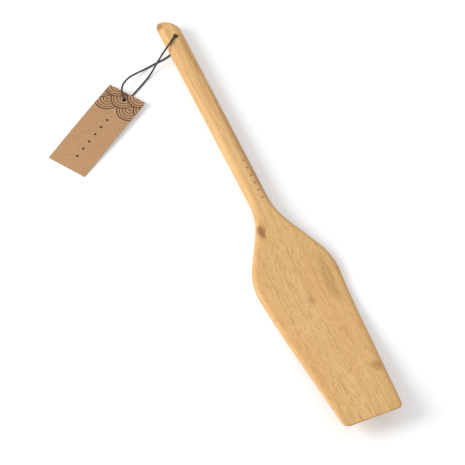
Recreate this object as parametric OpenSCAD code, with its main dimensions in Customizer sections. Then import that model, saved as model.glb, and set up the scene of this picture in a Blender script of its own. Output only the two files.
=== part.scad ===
// Bamboo spatula: six bamboo strips glued edge to edge, carved to one smooth blank,
// with a hanging cord through the handle's end and a card tag on the cord.
// The handle points along +Y, the middle of the length is at y = 0, and the underside
// rests on z = 0. Places along the spatula are counted from its tip.

/* [Blade] */
// Width of the tip between its two sides, before its corners are rounded
tip_w = 37.6; // [30:0.2:44]
// Radius of the tip's left corner
tip_left_r = 4.4; // [1:0.1:6]
// Radius of the tip's right corner
tip_right_r = 2.8; // [1:0.1:6]
// Width at which the blade's sides meet the shoulders, before they are rounded
shoulder_w = 55.8; // [50:0.2:64]
// Distance from the tip to that widest place
shoulder_y = 120; // [105:1:132]
// Radius of the shoulders
shoulder_r = 40; // [15:1:42]
// Thickness of the blade at its heel
blade_t = 4.8; // [4:0.1:7]
// Thickness of the blade just behind the bevel
bevel_t = 3.2; // [2.4:0.1:4]
// Length of the bevel on the tip's upper face
bevel_len = 8; // [4:0.5:14]
// Thickness of the tip's edge
edge_t = 1.6; // [1:0.1:2.2]

/* [Handle] */
// Length of the whole spatula
length = 332; // [300:1:360]
// Width of the handle at the neck
neck_w = 12.6; // [11:0.1:15]
// Width of the handle at its end
grip_w = 13.9; // [12.6:0.1:17]
// Distance from the tip to the corner between shoulder and handle
neck_y = 161; // [150:1:170]
// Radius of the curve from shoulder to handle
neck_r = 54; // [30:1:62]
// Thickness of the handle
handle_t = 8.5; // [7:0.1:11]
// Radius of the end's left corner
end_left_r = 2.4; // [1.5:0.1:5]
// Radius of the end's right corner
end_right_r = 8.5; // [4:0.1:9]
// Slant of the handle's end
end_skew = 15; // [0:1:20]

/* [Side curve] */
// Height of the tip's underside above the table
tip_rise = 14; // [8:0.5:18]
// Distance from the tip to the heel that the blade rests on
heel_y = 100; // [90:1:106]
// Radius of the heel's underside
heel_r = 210; // [120:10:260]
// Length of the flat that the heel rests on
heel_flat = 12; // [6:1:20]
// Distance from the tip to the top of the neck's arch
arch_y = 151; // [144:1:160]
// Height of the arch's underside above the lowest corner of the heel
arch_rise = 5.2; // [4:0.1:6.5]
// Radius of the arch
arch_r = 200; // [80:10:240]
// Height of the handle's underside at its end above that same corner
grip_rise = 3.2; // [2.9:0.1:5]

/* [Edges] */
// How far the rounding of the long edges reaches in over the faces of the blade
blade_round = 4; // [2:0.1:5]
// How far it reaches in over the faces of the handle
handle_round = 3.6; // [2:0.1:5]
// Radius of the rounding at the handle's end
end_round = 2.4; // [1:0.1:3]
// Radius of the rounding along the tip's edge
tip_round = 0.6; // [0.2:0.1:0.8]

/* [Glue lines] */
// Width of a bamboo strip beside the two core strips
strip_w = 8.9; // [8:0.1:9.4]
// Place of the glue line between the two core strips, from the middle
seam_x = 1.9; // [0.6:0.1:3]
// How far the core's left face lies outside the handle
core_margin = 0.1; // [0.1:0.1:1]

/* [Hanging hole] */
// Diameter of the hole
hole_d = 3.6; // [3.4:0.1:5]
// Distance of the hole from the handle's end
hole_in = 16; // [13:0.5:20]
// Distance of the hole to the right of the middle
hole_x = 1.2; // [0:0.1:2]

/* [Cord] */
// Thickness of the cord
cord_d = 1.3; // [1:0.1:1.4]
// Width of the knot
knot_d = 5; // [4:0.1:6]

/* [Tag] */
// Length of the tag
tag_l = 68; // [50:1:80]
// Width of the tag
tag_w = 28; // [20:0.5:36]
// Thickness of the card
tag_t = 0.5; // [0.3:0.1:0.8]
// Diameter of the tag's hole
tag_hole_d = 3.6; // [3:0.1:5]
// Distance of the tag's hole from its upper edge
tag_hole_in = 5; // [4:0.5:8]
// Distance of the tag's hole from the middle of its width
tag_hole_off = 0.5; // [0:0.1:2]
// Direction in which the tag points from its hole, seen from above
tag_heading = 214; // [200:1:230]

/* [Hidden] */

bamboo = [0.84, 0.67, 0.43];
bamboo_warm = [0.81, 0.61, 0.36];
cord_black = [0.09, 0.085, 0.08];
kraft = [0.72, 0.55, 0.39];

// Steps that a rounded corner of an outline and of a section are drawn in.
corner_steps = 9;
section_steps = 6;
end_steps = 6;

// Room that a cutting box has beyond the wood.
spare = 10;

// A step back from the very ends, so that no section is a line.
tip_gap = 0.02;

function unit(v) = v / norm(v);

// Points of an outline's fillet at its corner b, between its neighbours a and c.
// The arc of radius r touches both sides, and its points run from a's side to c's.
function fillet(a, b, c, r) =
    let (u = unit(a - b), v = unit(c - b))
    let (half = acos(u * v) / 2)
    let (centre = b + unit(u + v) * r / sin(half))
    let (from = b + u * r / tan(half) - centre, to = b + v * r / tan(half) - centre)
    let (start = atan2(from[1], from[0]), turn = atan2(to[1], to[0]) - start)
    let (sweep = turn > 180 ? turn - 360 : turn < -180 ? turn + 360 : turn)
    [for (i = [0 : corner_steps])
        let (angle = start + sweep * i / corner_steps)
        centre + r * [cos(angle), sin(angle)]];

// An outline through four corners, whose two inner ones are rounded.
function rounded_line(p, r1, r2) =
    concat([p[0]], fillet(p[0], p[1], p[2], r1), fillet(p[1], p[2], p[3], r2), [p[3]]);

// Half of the plan's width along the length, from the tip to the handle's end.
side_line = rounded_line([[0, tip_w / 2], [shoulder_y, shoulder_w / 2],
                          [neck_y, neck_w / 2], [length, grip_w / 2]], shoulder_r, neck_r);

// Height of the underside along the length, above the lowest corner of the heel.
under_line = rounded_line([[0, tip_rise], [heel_y, 0],
                           [arch_y, arch_rise], [length, grip_rise]], heel_r, arch_r);
// The heel's arc clears that corner by its lift, and is worn flat where it rests.
heel_lift = min([for (p = under_line) p[1]]);
heel_cut = heel_r - sqrt(heel_r * heel_r - heel_flat * heel_flat / 4);
function curve_z(y) = lookup(y, under_line) - heel_lift - heel_cut;

// Thickness along the length.
neck_waist = 0.4;
swell_len = 40;
thick_line = [[0, edge_t], [bevel_len, bevel_t], [heel_y, blade_t],
              [neck_y, handle_t - neck_waist], [neck_y + swell_len, handle_t],
              [length, handle_t]];

// How far a corner or a rounded edge of radius r steps back, at a distance d from the end.
function step_back(d, r) = d >= r ? 0 : r - sqrt(r * r - (r - d) * (r - d));

function from_tip(y) = max(y, tip_gap);
function from_end(y) = max(length - y, tip_gap);

function left_x(y) = -lookup(y, side_line)
    + step_back(from_tip(y), tip_left_r) + step_back(from_end(y), end_left_r);
function right_x(y) = lookup(y, side_line)
    - step_back(from_tip(y), tip_right_r) - step_back(from_end(y), end_right_r);

function face_inset(y) = step_back(from_tip(y), tip_round) + step_back(from_end(y), end_round);
function under_z(y) = max(0, curve_z(y)) + face_inset(y);
function upper_z(y) = curve_z(y) + lookup(y, thick_line) - face_inset(y);

// Reach of the long edges' rounding over the faces, and down the sides. It starts
// small at the tip, and leaves a narrow flat between the roundings of two edges.
tip_side_round = 1.5;
round_line = [[0, tip_side_round], [2 * bevel_len, blade_round], [heel_y, blade_round],
              [neck_y, handle_round], [length, handle_round]];
round_share = 0.46;
function round_in(y) =
    min(lookup(y, round_line), (right_x(y) - left_x(y)) * round_share);
function round_down(y) = (upper_z(y) - under_z(y)) * round_share;

// The handle's end is slanted: its sections lean over in the last stretch.
skew_len = 34;
function lean(y) =
    let (share = max(0, (y - length + skew_len) / skew_len))
    tan(end_skew) * share * share * (3 - 2 * share);

// One closed section across the spatula, as points of a rounded rectangle. It leans
// about the end's left corner, which is the farthest point of the handle.
end_corner_x = end_left_r - grip_w / 2;
function section(y) =
    let (l = left_x(y), r = right_x(y), b = under_z(y), t = upper_z(y))
    let (rx = round_in(y), rz = round_down(y))
    let (corners = [[r - rx, t - rz, 0], [l + rx, t - rz, 90],
                    [l + rx, b + rz, 180], [r - rx, b + rz, 270]])
    [for (c = corners, i = [0 : section_steps])
        let (angle = c[2] + 90 * i / section_steps)
        let (x = c[0] + rx * cos(angle), z = c[1] + rz * sin(angle))
        [x, y - length / 2 - (x - end_corner_x) * lean(y), z]];

// Places of the sections: close together at both ends and along the curves.
function spread(from, to, step) =
    let (n = ceil((to - from) / step))
    [for (i = [1 : n]) from + (to - from) * i / n];
corner_r = max(tip_left_r, tip_right_r);
blade_from = max(bevel_len, corner_r + 1);
curve_from = heel_y - 10;
curve_to = neck_y + 20;
handle_to = length - skew_len;
end_from = length - end_right_r;
stations = concat(
    [for (i = [0 : end_steps]) corner_r * (1 - cos(90 * i / end_steps))],
    spread(corner_r, blade_from, 3),
    spread(blade_from, curve_from, 8),
    spread(curve_from, curve_to, 4),
    spread(curve_to, handle_to, 18),
    spread(handle_to, end_from, 6),
    [for (i = [1 : end_steps]) end_from + end_right_r * sin(90 * i / end_steps)]);

// A skin over closed rings of points that all have the same number of points.
module skin(rings) {
    n = len(rings[0]);
    last = len(rings) - 1;
    sides = [for (j = [0 : last - 1], i = [0 : n - 1])
        let (a = j * n + i, b = j * n + (i + 1) % n)
        each [[a, b, a + n], [b, b + n, a + n]]];
    bottom = [for (i = [1 : n - 2]) [0, i + 1, i]];
    top = [for (i = [1 : n - 2]) [last * n, last * n + i, last * n + i + 1]];
    polyhedron([for (ring = rings) each ring], concat(bottom, sides, top), convexity = 6);
}

// The carved blank, as if it were one piece of wood.
module blank() {
    skin([for (y = stations) section(y)]);
}

hole_y = length / 2 - hole_in;
blank_top = upper_z(0) + handle_t + arch_rise;

module hanging_hole() {
    translate([hole_x, hole_y, -spare])
        cylinder(d = hole_d, h = blank_top + 2 * spare, $fn = 48);
}

// The part of the blank between two upright glue faces.
module strip(from_x, to_x) {
    intersection() {
        blank();
        translate([from_x, -length / 2 - spare, -spare])
            cube([to_x - from_x, length + 2 * spare, blank_top + 2 * spare]);
    }
}

// The handle is cut from the two core strips, and the others widen the blade.
outer_x = shoulder_w / 2 + spare;
core_x = -(grip_w / 2 + core_margin);
left_seam = core_x - strip_w;
right_seam = seam_x + strip_w;
edge_seam = right_seam + strip_w;

module strip_left_edge() {
    color(bamboo_warm) strip(-outer_x, left_seam);
}

module strip_left() {
    color(bamboo) strip(left_seam, core_x);
}

module strip_core_left() {
    color(bamboo) difference() {
        strip(core_x, seam_x);
        hanging_hole();
    }
}

module strip_core_right() {
    color(bamboo_warm) difference() {
        strip(seam_x, right_seam);
        hanging_hole();
    }
}

module strip_right() {
    color(bamboo) strip(right_seam, edge_seam);
}

module strip_right_edge() {
    color(bamboo_warm) strip(edge_seam, outer_x);
}

// Place of the tag's hole, seen from the hanging hole, and the height at which the
// knot holds the card there.
tag_at = [-48.7, -31];
knot_h = 2.5;
card_gap = 0.4;
tag_lift = knot_h + card_gap;

// Heights of the cord: lying on the table, lying over the handle, over the tag's upper
// edge, and a share of the way up to the handle's upper face.
cord_gap = 0.05;
on_table = cord_d / 2 + cord_gap;
over_wood = upper_z(length - hole_in) + cord_d / 2 + 6 * cord_gap;
over_card = tag_lift + tag_t + cord_d / 2 + 24 * cord_gap;
function up(share) = on_table + share * (over_wood - on_table);
function rise(share) = on_table + share * (over_card - on_table);

// Route of the cord, seen from the hanging hole: from the knot over the table, over the
// handle's left edge, down through the hole, out under the handle, and over the tag's
// edge into its hole.
route = [
    [-46.6, -30.2, up(0)], [-44.8, -29.5, up(0)], [-41.9, -28.3, up(0)],
    [-37.6, -25.6, up(0)], [-33.2, -22.7, up(0)], [-29.2, -20, up(0.01)],
    [-25.2, -17.3, up(0.07)], [-21.8, -14.9, up(0.2)], [-18.2, -12.6, up(0.44)],
    [-14.4, -10.7, up(0.74)], [-10.6, -8.5, up(0.94)], [-6.4, -5.4, up(1)],
    [-3.6, -3, up(1)], [-1.7, -1.4, up(1)], [-0.2, -0.2, up(0.93)],
    [0.3, 0.3, up(0.76)], [0.3, 0.3, up(0.51)], [0.3, 0.3, up(0.26)],
    [-0.2, -0.2, up(0.08)], [-1.6, -1.6, up(0)], [-3.8, -3.9, up(0)],
    [-6.8, -6.3, up(0)], [-11.6, -8, up(0)], [-16.9, -9, up(0)],
    [-22, -10.1, up(0)], [-27.3, -11.5, rise(0.1)], [-33, -13.5, rise(0.43)],
    [-38.7, -16.2, rise(0.86)], [-42.6, -18.6, rise(1)], [-45.5, -21.2, rise(1.04)],
    [-47.4, -24.4, rise(1)], [-48.4, -27.6, rise(1)], [-48.7, -29.4, rise(0.93)],
    [-48.7, -30.6, rise(0.71)], [-48.7, -31, rise(0.4)]];

// A smooth curve through the route: each stretch between two points leaves and
// arrives in the direction from the point before to the point after.
route_steps = 2;
function at(i) = route[max(0, min(len(route) - 1, i))];
function curve_point(i, t) =
    let (a = at(i), b = at(i + 1), da = (b - at(i - 1)) / 2, db = (at(i + 2) - a) / 2)
    (2 * t * t * t - 3 * t * t + 1) * a + (t * t * t - 2 * t * t + t) * da
    + (3 * t * t - 2 * t * t * t) * b + (t * t * t - t * t) * db;
cord_line = concat(
    [for (i = [0 : len(route) - 2], s = [0 : route_steps - 1]) curve_point(i, s / route_steps)],
    [route[len(route) - 1]]);

// Direction of the cord at each of its points, and a side vector carried along it
// without a twist.
function heading(i) =
    i == len(cord_line) - 1 ? [0, 0, -1]
    : unit(cord_line[i + 1] - cord_line[max(0, i - 1)]);
function carried(i, last) =
    let (d = heading(i), side = unit(last - (last * d) * d))
    i == len(cord_line) - 1 ? [side] : concat([side], carried(i + 1, side));
cord_sides = 8;
module cord_tube() {
    side = carried(0, [0, 0, 1]);
    skin([for (i = [0 : len(cord_line) - 1])
        let (d = heading(i), across = cross(d, side[i]))
        [for (k = [0 : cord_sides - 1])
            let (angle = 360 * k / cord_sides)
            cord_line[i] + cord_d / 2 * (cos(angle) * side[i] + sin(angle) * across)]]);
}

module hang_cord() {
    color(cord_black) translate([hole_x, hole_y, 0]) cord_tube();
}

// The knot is a squat bead, flat where the cord's two ends enter it.
knot_bulge = 1.15;
module cord_knot() {
    entry = route[1] - route[0];
    color(cord_black) translate([hole_x, hole_y, 0]) difference() {
        translate([tag_at[0], tag_at[1], 0])
            rotate_extrude($fn = 32)
                intersection() {
                    translate([0, knot_h / 2])
                        scale([knot_d / knot_h, knot_bulge])
                            circle(d = knot_h, $fn = 24);
                    square([knot_d, knot_h]);
                }
        translate([route[0][0], route[0][1], 0])
            rotate([0, 0, atan2(entry[1], entry[0])])
                translate([0, -knot_d, -spare])
                    cube([knot_d, 2 * knot_d, 3 * spare]);
    }
}

// The card leans on the knot, and its lower edge lies on the table.
module hang_tag() {
    reach = tag_l - tag_hole_in;
    color(kraft) translate([hole_x + tag_at[0], hole_y + tag_at[1], tag_lift])
        rotate([0, asin(tag_lift / reach), tag_heading])
            difference() {
                translate([-tag_hole_in, -tag_w / 2 - tag_hole_off, 0])
                    cube([tag_l, tag_w, tag_t]);
                translate([0, 0, -tag_t])
                    cylinder(d = tag_hole_d, h = 3 * tag_t, $fn = 48);
            }
}

strip_left_edge();
strip_left();
strip_core_left();
strip_core_right();
strip_right();
strip_right_edge();
hang_cord();
cord_knot();
hang_tag();
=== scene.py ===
"""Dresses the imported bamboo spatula: six glued bamboo strips, a twisted cord with its knot, and a card tag.

All sizes are in metres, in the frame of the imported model: the handle points along +Y, the middle of
the length is at y = 0, and the underside rests on z = 0.
"""

import math

import bpy
import numpy as np
from bpy.props import FloatProperty, FloatVectorProperty, IntProperty, PointerProperty
from bpy.types import Operator, Panel, PropertyGroup
from mathutils import Matrix, Vector


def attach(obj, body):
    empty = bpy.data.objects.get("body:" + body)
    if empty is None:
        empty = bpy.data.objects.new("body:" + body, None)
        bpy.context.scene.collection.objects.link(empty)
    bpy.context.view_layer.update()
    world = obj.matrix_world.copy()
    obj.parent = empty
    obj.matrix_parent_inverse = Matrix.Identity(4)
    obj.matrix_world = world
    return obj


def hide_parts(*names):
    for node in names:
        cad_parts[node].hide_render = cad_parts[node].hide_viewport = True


bl_info = {
    "name": "Bamboo Spatula",
    "version": (1, 0, 0),
    "blender": (4, 5, 0),
    "location": "3D Viewport > Sidebar > Spatula",
    "description": "Builds the strips, cord, knot and tag of a bamboo spatula, with their finishes",
    "category": "Object",
}

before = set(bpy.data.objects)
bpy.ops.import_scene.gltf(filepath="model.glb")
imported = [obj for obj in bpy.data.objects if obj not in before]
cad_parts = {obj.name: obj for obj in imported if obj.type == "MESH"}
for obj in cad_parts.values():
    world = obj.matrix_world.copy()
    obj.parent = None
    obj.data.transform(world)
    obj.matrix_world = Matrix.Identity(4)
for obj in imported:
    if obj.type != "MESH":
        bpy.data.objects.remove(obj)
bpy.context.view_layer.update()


# Settings.


def size(name, metres, description):
    """A length that the user may change."""
    return FloatProperty(name=name, description=description, default=metres, unit="LENGTH", precision=5)


def share(name, value, description):
    """A number from 0 to 1 that the user may change."""
    return FloatProperty(name=name, description=description, default=value, min=0, max=1, subtype="FACTOR")


def tint(name, rgb, description):
    """A colour that the user may change, in linear light."""
    return FloatVectorProperty(
        name=name, description=description, default=rgb, size=3, min=0, max=1, subtype="COLOR"
    )


def turn(name, degrees, description):
    """An angle that the user may change."""
    return FloatProperty(
        name=name, description=description, default=math.radians(degrees), unit="ROTATION"
    )


class BlankSizes(PropertyGroup):
    """Sizes of the carved blank. Places along it are counted from the tip."""

    length: size("Length", 0.332, "Length of the whole spatula")
    tip_width: size("Tip width", 0.0376, "Width of the tip before its corners are rounded")
    tip_left_radius: size("Tip left radius", 0.0044, "Radius of the tip's left corner")
    tip_right_radius: size("Tip right radius", 0.0028, "Radius of the tip's right corner")
    shoulder_width: size("Shoulder width", 0.0558, "Width where the sides meet the shoulders")
    shoulder_place: size("Shoulder place", 0.120, "Distance from the tip to the widest place")
    shoulder_radius: size("Shoulder radius", 0.040, "Radius of the shoulders")
    blade_thickness: size("Blade thickness", 0.0048, "Thickness of the blade at its heel")
    bevel_thickness: size("Bevel thickness", 0.0032, "Thickness just behind the bevel")
    bevel_length: size("Bevel length", 0.008, "Length of the bevel at the tip")
    edge_thickness: size("Edge thickness", 0.0016, "Thickness of the tip's edge")
    neck_width: size("Neck width", 0.0126, "Width of the handle at the neck")
    grip_width: size("Grip width", 0.0139, "Width of the handle at its end")
    neck_place: size("Neck place", 0.161, "Distance from the tip to the neck's corner")
    neck_radius: size("Neck radius", 0.054, "Radius of the curve from shoulder to handle")
    neck_waist: size("Neck waist", 0.0004, "How much thinner the neck is than the handle")
    swell_length: size("Swell length", 0.040, "Length in which the handle swells to its thickness")
    handle_thickness: size("Handle thickness", 0.0085, "Thickness of the handle")
    end_left_radius: size("End left radius", 0.0024, "Radius of the end's left corner")
    end_right_radius: size("End right radius", 0.0085, "Radius of the end's right corner")
    end_slant: turn("End slant", 15, "Slant of the handle's end")
    slant_length: size("Slant length", 0.034, "Length in which the sections lean over at the end")
    tip_rise: size("Tip rise", 0.014, "Height of the tip's underside above the heel's corner")
    heel_place: size("Heel place", 0.100, "Distance from the tip to the heel")
    heel_radius: size("Heel radius", 0.210, "Radius of the heel's underside")
    heel_flat: size("Heel flat", 0.012, "Length of the flat that the heel rests on")
    arch_place: size("Arch place", 0.151, "Distance from the tip to the top of the neck's arch")
    arch_rise: size("Arch rise", 0.0052, "Height of the arch above the heel's corner")
    arch_radius: size("Arch radius", 0.200, "Radius of the arch")
    grip_rise: size("Grip rise", 0.0032, "Height of the handle's end above the heel's corner")
    tip_rounding: size("Tip rounding", 0.0006, "Radius of the rounding along the tip's edge")
    end_rounding: size("End rounding", 0.0024, "Radius of the rounding at the handle's end")
    tip_side_rounding: size("Tip side rounding", 0.0015, "Rounding of the side edges at the tip")
    blade_rounding: size("Blade rounding", 0.004, "Rounding of the side edges of the blade")
    handle_rounding: size("Handle rounding", 0.0036, "Rounding of the side edges of the handle")
    rounding_share: share("Rounding share", 0.46, "Most of a side's height or width that is rounded")
    strip_width: size("Strip width", 0.0089, "Width of a bamboo strip beside the core")
    middle_seam: size("Middle seam", 0.0019, "Place of the glue line in the core")
    core_margin: size("Core margin", 0.0001, "How far the core's left face lies outside the handle")
    hole_diameter: size("Hole diameter", 0.0036, "Diameter of the hanging hole")
    hole_inset: size("Hole inset", 0.016, "Distance of the hanging hole from the handle's end")
    hole_offset: size("Hole offset", 0.0012, "Distance of the hole to the right of the middle")


class BambooLook(PropertyGroup):
    """Colours and scales of the oiled bamboo."""

    pale: tint("Pale bamboo", (0.745, 0.470, 0.200), "Base colour of the palest strips")
    honey: tint("Honey bamboo", (0.690, 0.400, 0.145), "Colour of the warmer bands")
    # The scorch colour also paints the shade along the right side of the handle.
    fibre: tint("Fibre", (0.400, 0.185, 0.055), "Colour of the fibre bundles")
    scorch_and_shade: tint("Scorch", (0.230, 0.075, 0.018), "Colour of nodes and burnt places")
    glue: tint("Glue line", (0.430, 0.225, 0.080), "Colour of the glue lines")
    spacing: size("Fibre spacing", 0.0011, "Distance between fibre bundles")
    roughness: share("Roughness", 0.46, "Roughness of the oiled surface")


class CordLook(PropertyGroup):
    """Size and colour of the hanging cord."""

    diameter: size("Cord diameter", 0.0013, "Thickness of the cord")
    ply_pitch: size("Ply pitch", 0.0042, "Length of one turn of the twisted plies")
    plies: IntProperty(name="Plies", description="Number of twisted plies", default=3, min=2, max=5)
    colour: tint("Cord colour", (0.012, 0.010, 0.010), "Colour of the waxed cord")
    knot_width: size("Knot width", 0.005, "Width of the knot")
    knot_height: size("Knot height", 0.0025, "Height of the knot")


class TagLook(PropertyGroup):
    """Size and colours of the card tag."""

    length: size("Tag length", 0.068, "Length of the tag")
    width: size("Tag width", 0.028, "Width of the tag")
    thickness: size("Card thickness", 0.0005, "Thickness of the card")
    hole_diameter: size("Tag hole diameter", 0.0036, "Diameter of the punched hole")
    hole_inset: size("Tag hole inset", 0.005, "Distance of the hole from the tag's upper edge")
    hole_offset: size("Tag hole offset", 0.0005, "Distance of the hole from the middle of the width")
    lift: size("Tag lift", 0.0029, "Height of the card above the table at its hole")
    heading: turn("Tag heading", 214, "Direction in which the tag points from its hole")
    bow: size("Tag bow", 0.0006, "How far the card's middle bows up")
    card: tint("Card", (0.470, 0.270, 0.135), "Colour of the brown card")
    ink: tint("Ink", (0.030, 0.014, 0.010), "Colour of the print")
    scale_radius: size("Scale radius", 0.0088, "Radius of the printed wave scales")


class StageLook(PropertyGroup):
    """Camera, floor and lamps."""

    azimuth: turn("Camera azimuth", -22.926, "Direction of the camera round the spatula")
    elevation: turn("Camera elevation", 54.52, "Height of the camera above the horizon")
    distance: size("Camera distance", 1.5, "Distance of the camera from the spatula's middle")
    lens: FloatProperty(name="Lens", description="Focal length in millimetres", default=185.82)
    floor: tint("Floor", (0.80, 0.80, 0.80), "Colour of the floor")
    lift: share("Floor lift", 0.27, "Light that the camera sees on the floor besides the lamps'")
    key: FloatProperty(name="Key lamp", description="Power of the main lamp in watts", default=9.0)
    sky: FloatProperty(name="Sky", description="Strength of the even light from all round", default=0.62)


# Shape of the blank.


def fillet(a, b, c, radius, steps=48):
    """Points of the arc that rounds corner b between a and c: it touches both sides, from a's to c's."""
    u = (a - b) / np.linalg.norm(a - b)
    v = (c - b) / np.linalg.norm(c - b)
    half = math.acos(np.dot(u, v)) / 2
    centre = b + (u + v) / np.linalg.norm(u + v) * radius / math.sin(half)
    reach = radius / math.tan(half)
    start, end = (math.atan2(*(b + d * reach - centre)[::-1]) for d in (u, v))
    sweep = (end - start + math.pi) % (2 * math.pi) - math.pi
    angle = start + sweep * np.linspace(0, 1, steps + 1)
    return centre + radius * np.column_stack([np.cos(angle), np.sin(angle)])


def rounded_line(corners, first_radius, second_radius):
    """An outline through four corners, whose two inner ones are rounded."""
    p = np.array(corners, float)
    return np.vstack([p[:1], fillet(*p[:3], first_radius), fillet(*p[1:], second_radius), p[3:]])


def step_back(distance, radius):
    """How far a rounded corner of that radius steps back, at a distance from the end."""
    inward = np.clip(radius - distance, 0, radius)
    return radius - np.sqrt(radius**2 - inward**2)


def plan(s, y):
    """Left and right edge of the blank at the distances y from the tip."""
    line = rounded_line(
        [
            (0, s.tip_width / 2),
            (s.shoulder_place, s.shoulder_width / 2),
            (s.neck_place, s.neck_width / 2),
            (s.length, s.grip_width / 2),
        ],
        s.shoulder_radius,
        s.neck_radius,
    )
    half = np.interp(y, *line.T)
    from_end = s.length - y
    left = -half + step_back(y, s.tip_left_radius) + step_back(from_end, s.end_left_radius)
    right = half - step_back(y, s.tip_right_radius) - step_back(from_end, s.end_right_radius)
    return left, right


def levels(s, y):
    """Heights of the underside and the upper face in the middle of the blank, at distances y from the tip."""
    line = rounded_line(
        [
            (0, s.tip_rise),
            (s.heel_place, 0),
            (s.arch_place, s.arch_rise),
            (s.length, s.grip_rise),
        ],
        s.heel_radius,
        s.arch_radius,
    )
    flat = s.heel_radius - math.sqrt(s.heel_radius**2 - s.heel_flat**2 / 4)
    curve = np.interp(y, *line.T) - line[:, 1].min() - flat
    thick = np.interp(
        y,
        [0, s.bevel_length, s.heel_place, s.neck_place, s.neck_place + s.swell_length, s.length],
        [
            s.edge_thickness,
            s.bevel_thickness,
            s.blade_thickness,
            s.handle_thickness - s.neck_waist,
            s.handle_thickness,
            s.handle_thickness,
        ],
    )
    inset = step_back(y, s.tip_rounding) + step_back(s.length - y, s.end_rounding)
    return np.maximum(curve, 0) + inset, curve + thick - inset


def heights(s, x, y):
    """Underside, upper face and distance from the outline at plan points (x, y).

    Each long edge is a quarter ellipse: it starts a rounding's width inside the outline, and drops to
    almost half of the thickness at the outline itself.
    """
    left, right = plan(s, y)
    under, upper = levels(s, y)
    reach = np.interp(
        y,
        [0, 2 * s.bevel_length, s.heel_place, s.neck_place, s.length],
        [
            s.tip_side_rounding,
            s.blade_rounding,
            s.blade_rounding,
            s.handle_rounding,
            s.handle_rounding,
        ],
    )
    reach = np.minimum(reach, (right - left) * s.rounding_share)
    inside = np.maximum(np.minimum(x - left, right - x), 0)
    bend = np.clip(1 - inside / np.maximum(reach, 1e-9), 0, 1)
    drop = (upper - under) * s.rounding_share * (1 - np.sqrt(1 - bend**2))
    return under + drop, upper - drop, inside


def placed(s, x, y, z):
    """Points of the row from plan points and heights: the sections lean over towards the handle's end."""
    part = np.clip((y - s.length + s.slant_length) / s.slant_length, 0, None)
    lean = math.tan(s.end_slant) * part**2 * (3 - 2 * part)
    corner = s.end_left_radius - s.grip_width / 2
    return np.stack([x, y - s.length / 2 - (x - corner) * lean, z], axis=-1)


def cosine_steps(count):
    """Numbers from 0 to 1, close together at both ends."""
    return (1 - np.cos(np.pi * np.linspace(0, 1, count))) / 2


def strip_surface(s, from_x, to_x, along, across):
    """Closed surface of the part of the blank between two upright glue faces.

    A ring of points lies round the strip at each distance from the tip: over the upper face from left
    to right, and back under it. The rings are close together at both ends, and so are the points of a
    ring at both its sides. Returns the points, the faces and each point's distance from the outline.
    """
    probe = np.linspace(0, s.length, 6000)
    left, right = plan(s, probe)
    inside = np.flatnonzero((right > from_x) & (left < to_x))
    low, high = probe[inside[[0, -1]]]
    y = (low + (high - low) * cosine_steps(along))[:, None]
    left, right = plan(s, y)
    start, end = np.clip(left, from_x, to_x), np.clip(right, from_x, to_x)
    x = start + (end - start) * cosine_steps(across)
    y = np.broadcast_to(y, x.shape)
    under, upper, rim = heights(s, x, y)
    ring = np.hstack([np.arange(across), np.arange(across)[::-1]])
    level = np.hstack([upper, under[:, ::-1]])
    points = placed(s, x[:, ring], y[:, ring], level)
    n = 2 * across
    row, column = np.meshgrid(np.arange(along - 1), np.arange(n), indexing="ij")
    here, beside = row * n + column, row * n + (column + 1) % n
    sides = np.stack([here, beside, beside + n, here + n], axis=-1).reshape(-1, 4)
    i = np.arange(across - 1)
    cap = np.stack([i, n - 1 - i, n - 2 - i, i + 1], axis=-1)
    caps = [cap, cap[:, ::-1] + (along - 1) * n]
    return points.reshape(-1, 3), np.vstack([sides, *caps]), rim[:, ring].ravel()


# Meshes.


def signed_volume(points, faces):
    """Volume inside closed faces: the sum of the tetrahedra from the origin, negative if they point inwards."""
    a, b, c, d = (points[faces[:, k]] for k in range(4))
    both = np.einsum("ij,ij->i", a, np.cross(b, c)) + np.einsum("ij,ij->i", a, np.cross(c, d))
    return both.sum() / 6


def new_piece(name, points, faces, material, sharp_degrees=35, **attributes):
    """A mesh object from closed arrays of points and faces, facing outwards, with numbers kept at its points."""
    faces = faces if signed_volume(points, faces) > 0 else faces[:, ::-1]
    mesh = bpy.data.meshes.new(name)
    mesh.from_pydata(points.tolist(), [], faces.tolist())
    for key, values in attributes.items():
        mesh.attributes.new(key, "FLOAT", "POINT").data.foreach_set("value", values)
    mesh.validate()
    mesh.shade_smooth()
    mesh.set_sharp_from_angle(angle=math.radians(sharp_degrees))
    mesh.materials.append(material)
    piece = bpy.data.objects.new(name, mesh)
    bpy.context.scene.collection.objects.link(piece)
    return piece


def lay_uv(piece, points_uv):
    """Gives the piece a UV map from numbers worked out for each of its points."""
    mesh = piece.data
    corners = np.empty(len(mesh.loops), int)
    mesh.loops.foreach_get("vertex_index", corners)
    layer = mesh.uv_layers.new(name="Surface")
    layer.data.foreach_set("uv", points_uv[corners].ravel())


def rod(radius, low, high, sides=64):
    """A closed upright cylinder round the origin, as points and four-sided faces."""
    angle = np.arange(sides) * 2 * np.pi / sides
    circle = np.column_stack([np.cos(angle), np.sin(angle)]) * radius
    rings = [np.column_stack([circle, np.full(sides, z)]) for z in (low, high)]
    points = np.vstack([*rings, [[0, 0, low]], [[0, 0, high]]])
    i = np.arange(0, sides, 2)
    j, k = (i + 1) % sides, (i + 2) % sides
    m = np.arange(sides)
    wall = np.column_stack([m, (m + 1) % sides, (m + 1) % sides + sides, m + sides])
    floor = np.column_stack([np.full(len(i), 2 * sides), k, j, i])
    roof = np.column_stack([np.full(len(i), 2 * sides + 1), i + sides, j + sides, k + sides])
    return points, np.vstack([wall, floor, roof])


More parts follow.
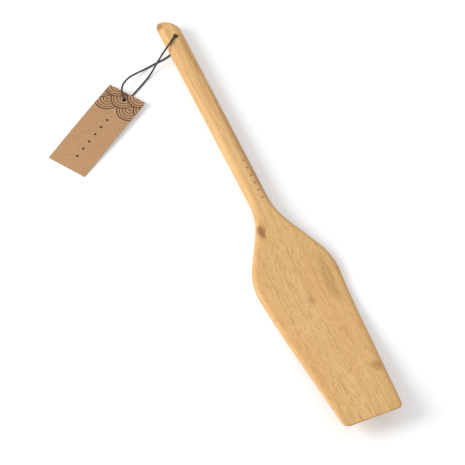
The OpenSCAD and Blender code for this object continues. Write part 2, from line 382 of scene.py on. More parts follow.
def bore(piece, radius, matrix, sharp_degrees=35):
    """Cuts a round hole through the piece along the matrix's own upright axis."""
    points, faces = rod(radius, -0.05, 0.05)
    cutter = new_piece(piece.name + "_drill", points, faces, piece.data.materials[0])
    cutter.data.transform(matrix)
    modifier = piece.modifiers.new("Hole", "BOOLEAN")
    modifier.object, modifier.operation, modifier.solver = cutter, "DIFFERENCE", "EXACT"
    bpy.context.view_layer.update()
    cut = bpy.data.meshes.new_from_object(piece.evaluated_get(bpy.context.evaluated_depsgraph_get()))
    piece.modifiers.clear()
    old, piece.data = piece.data, cut
    cut.name = piece.name
    cut.set_sharp_from_angle(angle=math.radians(sharp_degrees))
    bpy.data.objects.remove(cutter)
    bpy.data.meshes.remove(old)


def tube(path, sides, outline):
    """A closed tube carried along a path of points, whose side vectors are carried without a twist.

    outline(angle, travelled) gives the radius for each angle round the path and each length along it.
    Returns the points, the faces and, for each point, its turn from 0 to 1 and its length along the path.
    """
    step = np.gradient(path, axis=0)
    ahead = step / np.linalg.norm(step, axis=1, keepdims=True)
    side = np.empty_like(ahead)
    carried = np.array([0.0, 0.0, 1.0]) if abs(ahead[0, 2]) < 0.9 else np.array([1.0, 0.0, 0.0])
    for i, direction in enumerate(ahead):
        carried = carried - direction * carried.dot(direction)
        carried = carried / np.linalg.norm(carried)
        side[i] = carried
    other = np.cross(ahead, side)
    travelled = np.concatenate([[0], np.cumsum(np.linalg.norm(np.diff(path, axis=0), axis=1))])
    angle = np.arange(sides) * 2 * np.pi / sides
    radius = outline(angle[None, :], travelled[:, None])
    spokes = np.cos(angle)[None, :, None] * side[:, None] + np.sin(angle)[None, :, None] * other[:, None]
    points = path[:, None] + radius[..., None] * spokes
    count = len(path)
    row, column = np.meshgrid(np.arange(count - 1), np.arange(sides), indexing="ij")
    here, beside = row * sides + column, row * sides + (column + 1) % sides
    walls = np.stack([here, beside, beside + sides, here + sides], axis=-1).reshape(-1, 4)
    k = np.arange(0, sides, 2)
    ends = []
    for ring, hub in ((0, count * sides), (count - 1, count * sides + 1)):
        first = ring * sides
        fan = [np.full(len(k), hub), first + k, first + k + 1, first + (k + 2) % sides]
        ends.append(np.column_stack(fan)[:, :: -1 if ring == 0 else 1])
    turned = np.broadcast_to(angle / (2 * np.pi), radius.shape)
    length = np.broadcast_to(travelled[:, None], radius.shape)
    uv = np.column_stack([turned.ravel(), length.ravel()])
    points = np.vstack([points.reshape(-1, 3), path[:1], path[-1:]])
    return points, np.vstack([walls, *ends]), np.vstack([uv, [[0, 0]], [[0, travelled[-1]]]])


def smooth_path(points, steps):
    """A curve through the points: each stretch leaves and arrives in the direction of its outer neighbours."""
    p = np.vstack([points[:1], points, points[-1:]])
    a, b = p[1:-2, None], p[2:-1, None]
    da, db = (b - p[:-3, None]) / 2, (p[3:, None] - a) / 2
    t = (np.arange(steps) / steps)[None, :, None]
    curve = (2 * t**3 - 3 * t**2 + 1) * a + (t**3 - 2 * t**2 + t) * da
    curve = curve + (3 * t**2 - 2 * t**3) * b + (t**3 - t**2) * db
    return np.vstack([curve.reshape(-1, 3), points[-1:]])


# Material nodes.


def put(tree, kind, inputs=None, **settings):
    """Adds a node with its settings, and fills its inputs with values or other nodes' outputs."""
    node = tree.nodes.new(kind)
    for key, value in settings.items():
        setattr(node, key, value)
    for key, value in (inputs or {}).items():
        if isinstance(value, bpy.types.NodeSocket):
            tree.links.new(value, node.inputs[key])
        else:
            node.inputs[key].default_value = value
    return node


def calc(tree, operation, *values):
    """The output of a Math node."""
    return put(tree, "ShaderNodeMath", dict(enumerate(values)), operation=operation).outputs[0]


def spread(tree, value, low, high, to_low=0.0, to_high=1.0):
    """A value moved smoothly from one range to another, and kept in it."""
    inputs = {"Value": value, "From Min": low, "From Max": high, "To Min": to_low, "To Max": to_high}
    return put(tree, "ShaderNodeMapRange", inputs, interpolation_type="SMOOTHSTEP").outputs["Result"]


def blend(tree, factor, a, b):
    """Colour a turned into colour b by a factor."""
    node = put(tree, "ShaderNodeMix", {0: factor}, data_type="RGBA")
    for place, colour in ((6, a), (7, b)):
        if isinstance(colour, bpy.types.NodeSocket):
            tree.links.new(colour, node.inputs[place])
        else:
            node.inputs[place].default_value = (*colour, 1)
    return node.outputs[2]


def parts_of(tree, vector):
    """The three numbers of a vector."""
    return put(tree, "ShaderNodeSeparateXYZ", {0: vector}).outputs[:]


def joined(tree, x, y, z):
    """A vector from three numbers."""
    return put(tree, "ShaderNodeCombineXYZ", {0: x, 1: y, 2: z}).outputs[0]


def millimetres(tree):
    """The object's own coordinates in millimetres."""
    place = put(tree, "ShaderNodeTexCoord").outputs["Object"]
    inputs = {0: place, "Scale": 1000.0}
    return put(tree, "ShaderNodeVectorMath", inputs, operation="SCALE").outputs[0]


def stretched(tree, vector, x, y, z, shift=(0, 0, 0)):
    """The vector with each of its numbers scaled, and then moved."""
    inputs = {"Vector": vector, "Scale": (x, y, z), "Location": shift}
    return put(tree, "ShaderNodeMapping", inputs).outputs[0]


def noise(tree, vector, detail=2.0, roughness=0.5):
    """Noise from 0 to 1, one unit across."""
    inputs = {"Vector": vector, "Scale": 1.0, "Detail": detail, "Roughness": roughness}
    return put(tree, "ShaderNodeTexNoise", inputs).outputs["Fac"]


def effect(name, inputs, outputs):
    """An empty shader node group: (its tree, its named inputs, a function that sets an output)."""
    tree = bpy.data.node_groups.new(name, "ShaderNodeTree")
    for key, value in inputs.items():
        kind = "NodeSocketFloat" if isinstance(value, (int, float)) else "NodeSocketVector"
        socket = tree.interface.new_socket(name=key, in_out="INPUT", socket_type=kind)
        socket.default_value = value
    for key in outputs:
        tree.interface.new_socket(name=key, in_out="OUTPUT", socket_type="NodeSocketFloat")
    source, target = tree.nodes.new("NodeGroupInput"), tree.nodes.new("NodeGroupOutput")

    def set_output(key, value):
        tree.links.new(value, target.inputs[key])

    return tree, source.outputs, set_output


def use(tree, group, inputs):
    """Places a node group in a tree with its own values, and returns its outputs."""
    node = put(tree, "ShaderNodeGroup", node_tree=group)
    for key, value in inputs.items():
        if isinstance(value, bpy.types.NodeSocket):
            tree.links.new(value, node.inputs[key])
        else:
            node.inputs[key].default_value = value
    return node.outputs


def finish_tree(name):
    """A new material: (the material, its tree, its Principled BSDF node)."""
    material = bpy.data.materials.new(name)
    material.use_nodes = True
    tree = material.node_tree
    return material, tree, tree.nodes["Principled BSDF"]


def fibres_group():
    """Fibre bundles of bamboo as a solid pattern.

    The bundles are long thin cells that run along y. Where a carved surface cuts them at a slant they
    show as dashes, and where it runs along them as lines. Outputs: the bundles, short flecks, fine
    streaks, and slow changes of tone.
    """
    tree, given, give = effect(
        "Bamboo fibres",
        {"Position": (0, 0, 0), "Seed": 0.0, "Spacing": 1.1, "Fleck density": 0.5},
        ["Bundles", "Flecks", "Streaks", "Tone"],
    )
    seed = joined(tree, given["Seed"], given["Seed"], given["Seed"])
    moved = put(tree, "ShaderNodeVectorMath", {0: given["Position"], 1: seed}, operation="ADD").outputs[0]
    sway = calc(tree, "SUBTRACT", noise(tree, stretched(tree, moved, 0.06, 0.018, 0.06)), 0.5)
    x, y, z = parts_of(tree, moved)
    x = calc(tree, "MULTIPLY_ADD", sway, 3.0, x)
    bent = joined(tree, x, y, z)

    fine = calc(tree, "DIVIDE", 1.0, given["Spacing"])
    scaled = put(tree, "ShaderNodeVectorMath", {0: bent, "Scale": fine}, operation="SCALE").outputs[0]
    cells = put(
        tree, "ShaderNodeTexVoronoi", {"Vector": stretched(tree, scaled, 1, 0.022, 1), "Scale": 1.0}
    )
    own = parts_of(tree, cells.outputs["Color"])[0]
    bundle = spread(tree, cells.outputs["Distance"], 0.16, 0.42, 1.0, 0.0)
    give("Bundles", calc(tree, "MULTIPLY", bundle, spread(tree, own, 0.15, 0.9)))

    dashes = put(
        tree, "ShaderNodeTexVoronoi", {"Vector": stretched(tree, bent, 0.95, 0.27, 0.95), "Scale": 1.0}
    )
    chance = parts_of(tree, dashes.outputs["Color"])[1]
    patch = noise(tree, stretched(tree, moved, 0.11, 0.035, 0.11, (5, 2, 7)), 3.0)
    wanted = calc(tree, "MULTIPLY", given["Fleck density"], spread(tree, patch, 0.32, 0.66, 0.35, 1.25))
    kept = calc(tree, "LESS_THAN", chance, wanted)
    fleck = spread(tree, dashes.outputs["Distance"], 0.12, 0.38, 1.0, 0.0)
    give("Flecks", calc(tree, "MULTIPLY", fleck, kept))

    give("Streaks", noise(tree, stretched(tree, bent, 1.5, 0.03, 1.5), 4.0, 0.6))
    give("Tone", noise(tree, stretched(tree, moved, 0.16, 0.012, 0.16, (3, 9, 1)), 3.0))
    return tree


def spot_group():
    """A soft long spot: 1 at its centre, 0 outside an ellipse, with its rim torn along the fibres."""
    tree, given, give = effect(
        "Soft spot",
        {"Position": (0, 0, 0), "Centre x": 0.0, "Centre y": 0.0, "Half width": 1.0, "Half length": 1.0},
        ["Mask"],
    )
    x, y, _ = parts_of(tree, given["Position"])
    torn = noise(tree, stretched(tree, given["Position"], 1.2, 0.22, 1.2), 3.0)
    u = calc(tree, "DIVIDE", calc(tree, "SUBTRACT", x, given["Centre x"]), given["Half width"])
    v = calc(tree, "DIVIDE", calc(tree, "SUBTRACT", y, given["Centre y"]), given["Half length"])
    far = calc(tree, "SQRT", calc(tree, "ADD", calc(tree, "POWER", u, 2.0), calc(tree, "POWER", v, 2.0)))
    ragged = calc(tree, "ADD", far, calc(tree, "MULTIPLY_ADD", torn, 0.9, -0.45))
    give("Mask", spread(tree, ragged, 0.35, 1.0, 1.0, 0.0))
    return tree


# Marks on the bamboo, in millimetres: centre x and y, half width and half length, and strength. The fifth and
# sixth rows are painted shade along the right side of the handle, where its rounding turns away from the lamp.
MARKS_AND_PAINTED_SHADE = [
    (-8.4, -17, 3.6, 7.0, 0.75),
    (1.6, -72, 3.2, 4.5, 0.30),
    (17.0, -133, 4.5, 6.0, 0.40),
    (-5.6, 162, 2.4, 3.4, 0.70),
    # Painted shade along the right side of the handle:
    (3.4, 134, 1.3, 34.0, 0.42),
    (4.6, 44, 3.4, 62.0, 0.30),
    (17.5, -60, 5.0, 26.0, 0.22),
]
# Row of plain burnt dots on the handle: x, first y, pitch and count, in millimetres.
BURNT_DOTS = (2.4, 6.6, 6.2, 6)
# Row of plain printed dots on the card: across, start, pitch and count, in millimetres.
CARD_DOTS = (1.0, 21.2, 6.6, 6)


def bamboo_finish(name, look, group, spot, seams, seed, honey, flecks, bundles):
    """Oiled bamboo of one strip: its own tone and fleck density, node marks with painted shade along the
    handle's right side, glue lines, and painted shade that darkens the rims of the rounded edges.
    """
    material, tree, shader = finish_tree(name)
    here = millimetres(tree)
    x, y, z = parts_of(tree, here)
    grain = use(
        tree,
        group,
        {"Position": here, "Seed": seed, "Spacing": look.spacing * 1000, "Fleck density": flecks},
    )
    rim = put(tree, "ShaderNodeAttribute", attribute_name="rim").outputs["Fac"]
    rim = calc(tree, "MULTIPLY", rim, 1000.0)

    warmth = spread(tree, grain["Tone"], 0.30, 0.72, honey - 0.22, honey + 0.38)
    # Painted shade: within 5 mm of the outline, where the edges round over, the colour is turned darker towards
    # honey.
    warmth = calc(tree, "ADD", warmth, spread(tree, rim, 0.8, 5.0, 0.42, 0.0))
    colour = blend(tree, calc(tree, "MINIMUM", warmth, 1.0), look.pale, look.honey)
    streak = spread(tree, grain["Streaks"], 0.42, 0.74, 0.0, 0.42)
    colour = blend(tree, streak, colour, look.fibre)
    colour = blend(tree, calc(tree, "MULTIPLY", grain["Bundles"], bundles), colour, look.fibre)
    colour = blend(tree, calc(tree, "MULTIPLY", grain["Flecks"], 0.55), colour, look.fibre)
    # Node marks and stains, and the painted shade along the handle's right side, all in the scorch colour.
    for centre_x, centre_y, half_width, half_length, strength in MARKS_AND_PAINTED_SHADE:
        mask = use(
            tree,
            spot,
            {
                "Position": here,
                "Centre x": centre_x,
                "Centre y": centre_y,
                "Half width": half_width,
                "Half length": half_length,
            },
        )[0]
        colour = blend(tree, calc(tree, "MULTIPLY", mask, strength), colour, look.scorch_and_shade)
    for seam in seams:
        off = calc(tree, "ABSOLUTE", calc(tree, "SUBTRACT", x, seam * 1000))
        colour = blend(tree, spread(tree, off, 0.08, 0.30, 0.5, 0.0), colour, look.glue)

    dot_x, first, pitch, count = BURNT_DOTS
    within = calc(tree, "SUBTRACT", y, first - pitch / 2)
    near = calc(tree, "SUBTRACT", calc(tree, "FLOORED_MODULO", within, pitch), pitch / 2)
    apart = calc(tree, "POWER", calc(tree, "SUBTRACT", x, dot_x), 2.0)
    apart = calc(tree, "SQRT", calc(tree, "MULTIPLY_ADD", near, near, apart))
    in_row = calc(tree, "COMPARE", within, count * pitch / 2, count * pitch / 2)
    burnt = calc(tree, "MULTIPLY", spread(tree, apart, 0.5, 1.25, 0.6, 0.0), in_row)
    colour = blend(tree, burnt, colour, look.scorch_and_shade)
    tree.links.new(colour, shader.inputs["Base Color"])

    gloss = spread(tree, grain["Streaks"], 0.3, 0.75, look.roughness - 0.06, look.roughness + 0.10)
    tree.links.new(gloss, shader.inputs["Roughness"])
    relief = calc(tree, "MULTIPLY_ADD", grain["Bundles"], -0.5, grain["Streaks"])
    relief = calc(tree, "MULTIPLY_ADD", grain["Flecks"], -0.5, relief)
    bump = put(tree, "ShaderNodeBump", {"Height": relief, "Strength": 0.28, "Distance": 0.0002})
    tree.links.new(bump.outputs[0], shader.inputs["Normal"])
    shader.inputs["Specular IOR Level"].default_value = 0.42
    return material


def cord_finish(look):
    """Black waxed cord: fine threads wound along the plies, with a little grey where the wax is rubbed."""
    material, tree, shader = finish_tree("waxed_cord")
    uv = put(tree, "ShaderNodeUVMap", uv_map="Surface").outputs[0]
    turned, along, _ = parts_of(tree, uv)
    along = calc(tree, "MULTIPLY", along, 1000.0)
    slope = calc(tree, "MULTIPLY_ADD", turned, 14.0, calc(tree, "MULTIPLY", along, 3.4))
    thread = calc(tree, "PINGPONG", slope, 1.0)
    dust = noise(tree, stretched(tree, millimetres(tree), 1.6, 1.6, 1.6), 3.0)
    worn = calc(tree, "MULTIPLY", spread(tree, dust, 0.45, 0.75), 0.5)
    rubbed = tuple(0.035 + channel for channel in look.colour)
    colour = blend(tree, calc(tree, "MULTIPLY", worn, thread), look.colour, rubbed)
    tree.links.new(colour, shader.inputs["Base Color"])
    tree.links.new(spread(tree, dust, 0.3, 0.7, 0.42, 0.62), shader.inputs["Roughness"])
    bump = put(tree, "ShaderNodeBump", {"Height": thread, "Strength": 0.35, "Distance": 0.0001})
    tree.links.new(bump.outputs[0], shader.inputs["Normal"])
    return material


def scale_row_group():
    """One row of printed wave scales, laid over what is below it.

    Circles of one radius stand side by side in the row. Inside a circle, rings of ink follow its rim at
    an even pitch. Outputs the ink, which is the lower layer's ink outside the circles.
    """
    tree, given, give = effect(
        "Scale row",
        {"Across": 0.0, "Down": 0.0, "Radius": 8.8, "Row": 0.0, "Offset": 0.0, "Below": 0.0},
        ["Ink"],
    )
    pitch = calc(tree, "MULTIPLY", given["Radius"], 2.0)
    moved = calc(tree, "ADD", calc(tree, "SUBTRACT", given["Across"], given["Offset"]), given["Radius"])
    side = calc(tree, "SUBTRACT", calc(tree, "FLOORED_MODULO", moved, pitch), given["Radius"])
    drop = calc(tree, "SUBTRACT", given["Down"], given["Row"])
    square = calc(tree, "MULTIPLY_ADD", drop, drop, calc(tree, "MULTIPLY", side, side))
    part = calc(tree, "DIVIDE", calc(tree, "SQRT", square), given["Radius"])
    inside = calc(tree, "LESS_THAN", part, 1.0)
    rings = calc(tree, "PINGPONG", calc(tree, "MULTIPLY_ADD", part, 4.3, -0.3), 0.5)
    ink = spread(tree, rings, 0.10, 0.17, 1.0, 0.0)
    rim = spread(tree, part, 0.90, 0.93)
    ink = calc(tree, "MAXIMUM", ink, rim)
    over = calc(tree, "MULTIPLY", ink, inside)
    under = calc(tree, "MULTIPLY", given["Below"], calc(tree, "SUBTRACT", 1.0, inside))
    give("Ink", calc(tree, "ADD", over, under))
    return tree


def card_finish(look):
    """Brown card with short fibres, a printed band of wave scales and a plain row of dots."""
    material, tree, shader = finish_tree("kraft_card")
    uv = put(tree, "ShaderNodeUVMap", uv_map="Surface").outputs[0]
    place = put(tree, "ShaderNodeVectorMath", {0: uv, "Scale": 1000.0}, operation="SCALE").outputs[0]
    down, across, face = parts_of(tree, place)
    row = scale_row_group()
    radius = look.scale_radius * 1000
    ink = None
    for level, offset in ((1.15, radius), (0.45, 0.0), (-0.25, radius)):
        given = {"Across": across, "Down": down, "Radius": radius, "Row": level * radius, "Offset": offset}
        if ink is not None:
            given["Below"] = ink
        ink = use(tree, row, given)["Ink"]

    dot_x, first, pitch, count = CARD_DOTS
    mid = calc(tree, "SUBTRACT", across, dot_x)
    steps = calc(tree, "FLOORED_MODULO", calc(tree, "SUBTRACT", down, first), pitch)
    near = calc(tree, "SUBTRACT", steps, pitch / 2)
    apart = calc(tree, "SQRT", calc(tree, "MULTIPLY_ADD", near, near, calc(tree, "MULTIPLY", mid, mid)))
    in_row = calc(tree, "COMPARE", down, first + count * pitch / 2, count * pitch / 2)
    dots = calc(tree, "MULTIPLY", spread(tree, apart, 0.75, 0.95, 1.0, 0.0), in_row)
    ink = calc(tree, "MAXIMUM", ink, dots)
    upper = put(tree, "ShaderNodeAttribute", attribute_name="printed").outputs["Fac"]
    ink = calc(tree, "MULTIPLY", ink, calc(tree, "GREATER_THAN", upper, 0.5))

    here = millimetres(tree)
    pulp = noise(tree, stretched(tree, here, 1.1, 1.1, 1.1), 5.0, 0.65)
    cloud = noise(tree, stretched(tree, here, 0.12, 0.12, 0.12), 2.0)
    dark = tuple(channel * 0.72 for channel in look.card)
    light = tuple(min(1.0, channel * 1.16) for channel in look.card)
    colour = blend(tree, spread(tree, pulp, 0.3, 0.7), dark, light)
    colour = blend(tree, spread(tree, cloud, 0.3, 0.7, 0.0, 0.35), colour, look.card)
    worn = calc(tree, "MULTIPLY", ink, spread(tree, pulp, 0.28, 0.5, 0.80, 0.97))
    colour = blend(tree, worn, colour, look.ink)
    tree.links.new(colour, shader.inputs["Base Color"])
    tree.links.new(spread(tree, pulp, 0.2, 0.8, 0.72, 0.9), shader.inputs["Roughness"])
    bump = put(tree, "ShaderNodeBump", {"Height": pulp, "Strength": 0.25, "Distance": 0.0002})
    tree.links.new(bump.outputs[0], shader.inputs["Normal"])
    shader.inputs["Specular IOR Level"].default_value = 0.25
    return material


# Pieces.


def hanging_hole(s):
    """Plan place of the hanging hole."""
    return np.array([s.hole_offset, s.length / 2 - s.hole_inset])


# Route of the cord in millimetres, seen from the hanging hole. The third number is its height: a share
# of the way from the table up to the handle's upper face, or, after "over", up to the tag's hump.
ROUTE = [
    (-46.6, -30.2, 0), (-44.8, -29.5, 0), (-41.9, -28.3, 0), (-37.6, -25.6, 0), (-33.2, -22.7, 0),
    (-29.2, -20, 0.01), (-25.2, -17.3, 0.07), (-21.8, -14.9, 0.2), (-18.2, -12.6, 0.44),
    (-14.4, -10.7, 0.74), (-10.6, -8.5, 0.94), (-6.4, -5.4, 1), (-3.6, -3, 1), (-1.7, -1.4, 1),
    (-0.2, -0.2, 0.93), (0.3, 0.3, 0.76), (0.3, 0.3, 0.51), (0.3, 0.3, 0.26), (-0.2, -0.2, 0.08),
    (-1.6, -1.6, 0), (-3.8, -3.9, 0), (-6.8, -6.3, 0), (-11.6, -8, 0), (-16.9, -9, 0), (-22, -10.1, 0),
]  # fmt: skip
ROUTE_OVER_TAG = [
    (-27.3, -11.5, 0.1), (-33, -13.5, 0.43), (-38.7, -16.2, 0.86), (-42.6, -18.6, 1),
    (-45.5, -21.2, 1.04), (-47.4, -24.4, 1), (-48.4, -27.6, 1), (-48.7, -29.4, 0.93),
    (-48.7, -30.6, 0.71), (-48.7, -31, 0.4),
]  # fmt: skip
CORD_GAP = 0.00005
# Place of the tag's hole, seen from the hanging hole.
TAG_PLACE = np.array([-0.0487, -0.031])


def cord_route(s, cord, tag):
    """Points of the cord's centreline in the row frame."""
    table = cord.diameter / 2 + CORD_GAP
    _, top = levels(s, np.array([s.length - s.hole_inset]))
    wood = top[0] + cord.diameter / 2 + 6 * CORD_GAP
    card = tag.lift + tag.thickness + cord.diameter / 2 + 24 * CORD_GAP
    points = np.vstack([ROUTE, ROUTE_OVER_TAG]).astype(float)
    high = np.repeat([wood, card], [len(ROUTE), len(ROUTE_OVER_TAG)])
    points[:, :2] = points[:, :2] / 1000 + hanging_hole(s)
    points[:, 2] = table + points[:, 2] * (high - table)
    return points


def tag_matrix(s, tag):
    """Places the card: its hole is the origin, its length runs along x, and it leans down to the table."""
    hole = hanging_hole(s) + TAG_PLACE
    tilt = math.asin(tag.lift / (tag.length - tag.hole_inset))
    place = Matrix.Translation((*hole, tag.lift))
    return place @ Matrix.Rotation(tag.heading, 4, "Z") @ Matrix.Rotation(tilt, 4, "Y")


class SPATULA_OT_camera(Operator):
    """Sets the camera at the photograph's viewing angle"""

    bl_idname = "spatula.camera"
    bl_label = "Camera"

    def execute(self, context):
        look = context.scene.spatula_stage
        a, e = look.azimuth, look.elevation
        right = Vector((math.cos(a), math.sin(a), 0))
        back = Vector((math.sin(a) * math.cos(e), -math.cos(a) * math.cos(e), math.sin(e)))
        up = back.cross(right)
        middle = Vector((0, -0.001, 0))
        eye = middle + back * look.distance
        aim = middle - right * 0.019586 - up * 0.008893
        back = (eye - aim).normalized()
        right = (right - back * right.dot(back)).normalized()
        up = back.cross(right)
        camera = bpy.data.objects.new("Camera", bpy.data.cameras.new("Camera"))
        camera.data.lens = look.lens
        camera.matrix_world = Matrix.Translation(eye) @ Matrix((right, up, back)).transposed().to_4x4()
        context.scene.collection.objects.link(camera)
        context.scene.camera = camera
        return {"FINISHED"}


class SPATULA_OT_cord(Operator):
    """Lays the twisted cord from its knot through the handle's hole and back to the tag"""

    bl_idname = "spatula.cord"
    bl_label = "Cord"

    def execute(self, context):
        scene = context.scene
        cord = scene.spatula_cord
        path = smooth_path(cord_route(scene.spatula_blank, cord, scene.spatula_tag), 14)
        half = cord.diameter / 2

        def outline(angle, travelled):
            """The plies stand out: the radius dips between them, and the dips turn along the cord."""
            wave = cord.plies * (angle - travelled * 2 * np.pi / cord.ply_pitch)
            return half * (0.93 + 0.07 * np.cos(wave))

        points, faces, uv = tube(path, 18, outline)
        piece = new_piece("cord_visual", points, faces, cord_finish(cord), 80)
        lay_uv(piece, uv)
        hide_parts("hang_cord")
        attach(piece, "cord")
        knot = make_knot(scene)
        return {"FINISHED"}


def make_knot(scene):
    """Ties the cord's ends under the card: a trefoil of the same cord, with two short tails."""
    cord = scene.spatula_cord
    centre = np.array([*(hanging_hole(scene.spatula_blank) + TAG_PLACE), 0])
    thick = cord.diameter * 0.88
    inner = (cord.knot_width - thick) / 6
    t = np.linspace(0, 2 * np.pi, 120)
    loop = np.column_stack(
        [
            inner * (np.sin(t) + 2 * np.sin(2 * t)),
            inner * (np.cos(t) - 2 * np.cos(2 * t)),
            (cord.knot_height - thick) / 2 * (1 - np.sin(3 * t) * 0.96) + thick / 2,
        ]
    )

    def outline(angle, travelled):
        """The same radius all round and all along."""
        return thick / 2 + 0 * (angle + travelled)

    groups = [tube(centre + loop, 14, outline)]
    for heading, bend, reach in ((190, -22, 0.0068), (238, 26, 0.0058)):
        s = np.linspace(0, 1, 16)
        angle = np.radians(heading + bend * s)
        run = np.cumsum(np.column_stack([np.cos(angle), np.sin(angle)]) * reach / len(s), axis=0)
        low = thick / 2 + CORD_GAP + 0.0006 * (1 - s) ** 2
        tail = centre + np.column_stack([run, low])
        groups.append(tube(tail, 12, outline))
    shift, all_points, all_faces, all_uv = 0, [], [], []
    for points, faces, coords in groups:
        all_points.append(points)
        all_faces.append(faces + shift)
        all_uv.append(coords)
        shift += len(points)
    knot = new_piece(
        "knot_visual",
        np.vstack(all_points),
        np.vstack(all_faces),
        bpy.data.materials["waxed_cord"],
        80,
    )
    lay_uv(knot, np.vstack(all_uv))
    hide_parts("cord_knot")
    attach(knot, "cord")
    return knot


class SPATULA_OT_strips(Operator):
    """Builds the six glued strips of the carved blank, with the hanging hole"""

    bl_idname = "spatula.strips"
    bl_label = "Bamboo strips"

    def execute(self, context):
        s, look = context.scene.spatula_blank, context.scene.spatula_bamboo
        outer = s.shoulder_width
        core = -(s.grip_width / 2 + s.core_margin)
        left = core - s.strip_width
        right = s.middle_seam + s.strip_width
        edge = right + s.strip_width
        seams = (left, core, s.middle_seam, right, edge)
        fibres, spot = fibres_group(), spot_group()
        hole = Matrix.Translation((*hanging_hole(s), 0))
        # Node, its two sides, rings along, points across, seed, warmth, fleck density, bundle strength.
        for node, slot, low, high, along, across, seed, honey, flecks, bundles in (
            ("strip_left_edge", "bamboo_warm", -outer, left, 260, 22, 11.0, 0.42, 0.42, 0.40),
            ("strip_left", "bamboo_pale", left, core, 300, 20, 47.0, 0.16, 0.62, 0.55),
            ("strip_core_left", "bamboo_pale", core, s.middle_seam, 560, 24, 83.0, 0.12, 0.50, 0.50),
            ("strip_core_right", "bamboo_honey", s.middle_seam, right, 560, 24, 131.0, 0.30, 0.26, 0.45),
            ("strip_right", "bamboo_honey", right, edge, 280, 20, 173.0, 0.44, 0.30, 0.45),
            ("strip_right_edge", "bamboo_warm", edge, outer, 240, 20, 211.0, 0.62, 0.22, 0.40),
        ):
            points, faces, rim = strip_surface(s, low, high, along, across)
            finish = bamboo_finish(
                node.replace("strip", "bamboo"), look, fibres, spot, seams, seed, honey, flecks, bundles
            )
            piece = new_piece(node + "_visual", points, faces, finish, rim=rim)
            if "core" in node:
                bore(piece, s.hole_diameter / 2, hole)
            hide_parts(node)
            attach(piece, "spatula")
        return {"FINISHED"}


class SPATULA_OT_tag(Operator):
    """Builds the brown card tag with its print and punched hole"""

    bl_idname = "spatula.tag"
    bl_label = "Card tag"

    def execute(self, context):
        s, tag = context.scene.spatula_blank, context.scene.spatula_tag
        long, wide = 69, 29
        u = np.linspace(-tag.hole_inset, tag.length - tag.hole_inset, long)[:, None]
        v = (np.linspace(-tag.width / 2, tag.width / 2, wide) - tag.hole_offset)[None, :]
        u, v = np.broadcast_arrays(u, v)
        # The card bows up a little between its hole and its lower edge: half a wave of a sine.
        part = np.clip(u / (tag.length - tag.hole_inset), 0, 1)
        bow = tag.bow * np.sin(np.pi * part)
        lower = np.stack([u, v, bow], axis=-1).reshape(-1, 3)
        upper = lower + np.array([0, 0, tag.thickness])
        n = long * wide
        row, column = np.meshgrid(np.arange(long - 1), np.arange(wide - 1), indexing="ij")
        here = (row * wide + column).ravel()
        top = np.column_stack([here, here + wide, here + wide + 1, here + 1]) + n
        bottom = (top - n)[:, ::-1]
        rim = np.concatenate(
            [
                np.arange(wide),
                np.arange(1, long) * wide + wide - 1,
                (long - 1) * wide + np.arange(wide - 2, -1, -1),
                np.arange(long - 2, 0, -1) * wide,
            ]
        )
        after = np.roll(rim, -1)
        sides = np.column_stack([rim, after, after + n, rim + n])
        points = np.vstack([lower, upper])
        uv = np.column_stack([points[:, 0] + tag.hole_inset, points[:, 1] + tag.hole_offset])
        printed = np.repeat([0.0, 1.0], n)
        faces = np.vstack([top, bottom, sides])
        piece = new_piece("tag_visual", points, faces, card_finish(tag), 40, printed=printed)
        lay_uv(piece, uv)
        place = tag_matrix(s, tag)
        piece.data.transform(place)
        bore(piece, tag.hole_diameter / 2, place, 40)
        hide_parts("hang_tag")
        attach(piece, "tag")
        return {"FINISHED"}


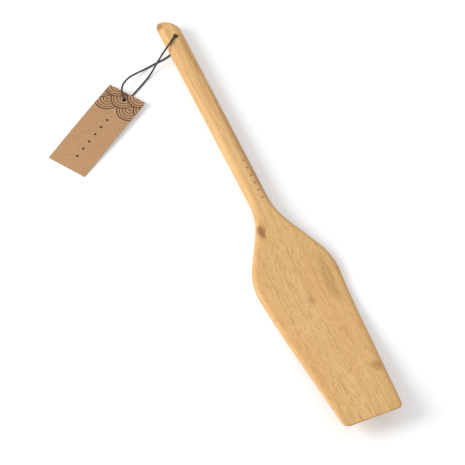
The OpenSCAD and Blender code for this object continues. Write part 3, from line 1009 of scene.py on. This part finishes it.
class SPATULA_OT_stage(Operator):
    """Sets up the white floor, the soft lamp from the left and the even light all round"""

    bl_idname = "spatula.stage"
    bl_label = "Stage"

    def execute(self, context):
        scene = context.scene
        look = scene.spatula_stage
        material, tree, shader = finish_tree("white_floor")
        shader.inputs["Base Color"].default_value = (*look.floor, 1)
        shader.inputs["Roughness"].default_value = 0.9
        shader.inputs["Specular IOR Level"].default_value = 0.0
        seen = put(tree, "ShaderNodeLightPath").outputs
        shown = calc(tree, "MAXIMUM", seen["Is Camera Ray"], seen["Is Glossy Ray"])
        glow = put(tree, "ShaderNodeEmission", {"Strength": calc(tree, "MULTIPLY", shown, look.lift)})
        both = put(tree, "ShaderNodeAddShader", {0: shader.outputs[0], 1: glow.outputs[0]})
        tree.links.new(both.outputs[0], tree.nodes["Material Output"].inputs["Surface"])
        far = 6.0
        mesh = bpy.data.meshes.new("floor")
        corners = [(-far, -far, 0), (far, -far, 0), (far, far, 0), (-far, far, 0)]
        mesh.from_pydata(corners, [], [(0, 1, 2, 3)])
        mesh.materials.append(material)
        floor = bpy.data.objects.new("floor", mesh)
        floor.location.z = -0.00002
        scene.collection.objects.link(floor)

        world = bpy.data.worlds.new("even_light")
        world.use_nodes = True
        tree = world.node_tree
        seen = put(tree, "ShaderNodeLightPath").outputs
        shown = calc(tree, "MAXIMUM", seen["Is Camera Ray"], seen["Is Glossy Ray"])
        strength = spread(tree, shown, 0.0, 1.0, look.sky, 1.0)
        background = tree.nodes["Background"]
        background.inputs["Color"].default_value = (1, 1, 1, 1)
        tree.links.new(strength, background.inputs["Strength"])
        scene.world = world

        lamp = bpy.data.lights.new("key_lamp", "AREA")
        lamp.shape, lamp.size, lamp.energy = "DISK", 0.62, look.key
        key = bpy.data.objects.new("key_lamp", lamp)
        key.location = (-0.85, 0.18, 0.62)
        key.rotation_euler = (Vector((0, 0, 0)) - key.location).to_track_quat("-Z", "Y").to_euler()
        scene.collection.objects.link(key)
        scene.view_settings.view_transform = "Standard"
        return {"FINISHED"}


class SPATULA_PT_panel(Panel):
    """Lists the spatula's pieces and settings"""

    bl_idname = "SPATULA_PT_panel"
    bl_label = "Bamboo Spatula"
    bl_space_type = "VIEW_3D"
    bl_region_type = "UI"
    bl_category = "Spatula"

    def draw(self, context):
        for operator in OPERATORS:
            self.layout.operator(operator.bl_idname)
        for key in SETTINGS:
            box = self.layout.box()
            box.label(text=key.replace("spatula_", "").title())
            settings = getattr(context.scene, key)
            for name in settings.__annotations__:
                box.prop(settings, name)


SETTINGS = {
    "spatula_blank": BlankSizes,
    "spatula_bamboo": BambooLook,
    "spatula_cord": CordLook,
    "spatula_tag": TagLook,
    "spatula_stage": StageLook,
}
OPERATORS = (
    SPATULA_OT_camera,
    SPATULA_OT_cord,
    SPATULA_OT_strips,
    SPATULA_OT_tag,
    SPATULA_OT_stage,
)


def register():
    for group in (*SETTINGS.values(), *OPERATORS, SPATULA_PT_panel):
        bpy.utils.register_class(group)
    for key, group in SETTINGS.items():
        setattr(bpy.types.Scene, key, PointerProperty(type=group))


def unregister():
    for key in SETTINGS:
        delattr(bpy.types.Scene, key)
    for group in (SPATULA_PT_panel, *OPERATORS, *SETTINGS.values()):
        bpy.utils.unregister_class(group)


def main():
    register()
    bpy.ops.spatula.camera()
    bpy.ops.spatula.cord()
    bpy.ops.spatula.strips()
    bpy.ops.spatula.tag()
    bpy.ops.spatula.stage()


if __name__ == "__main__":
    main()
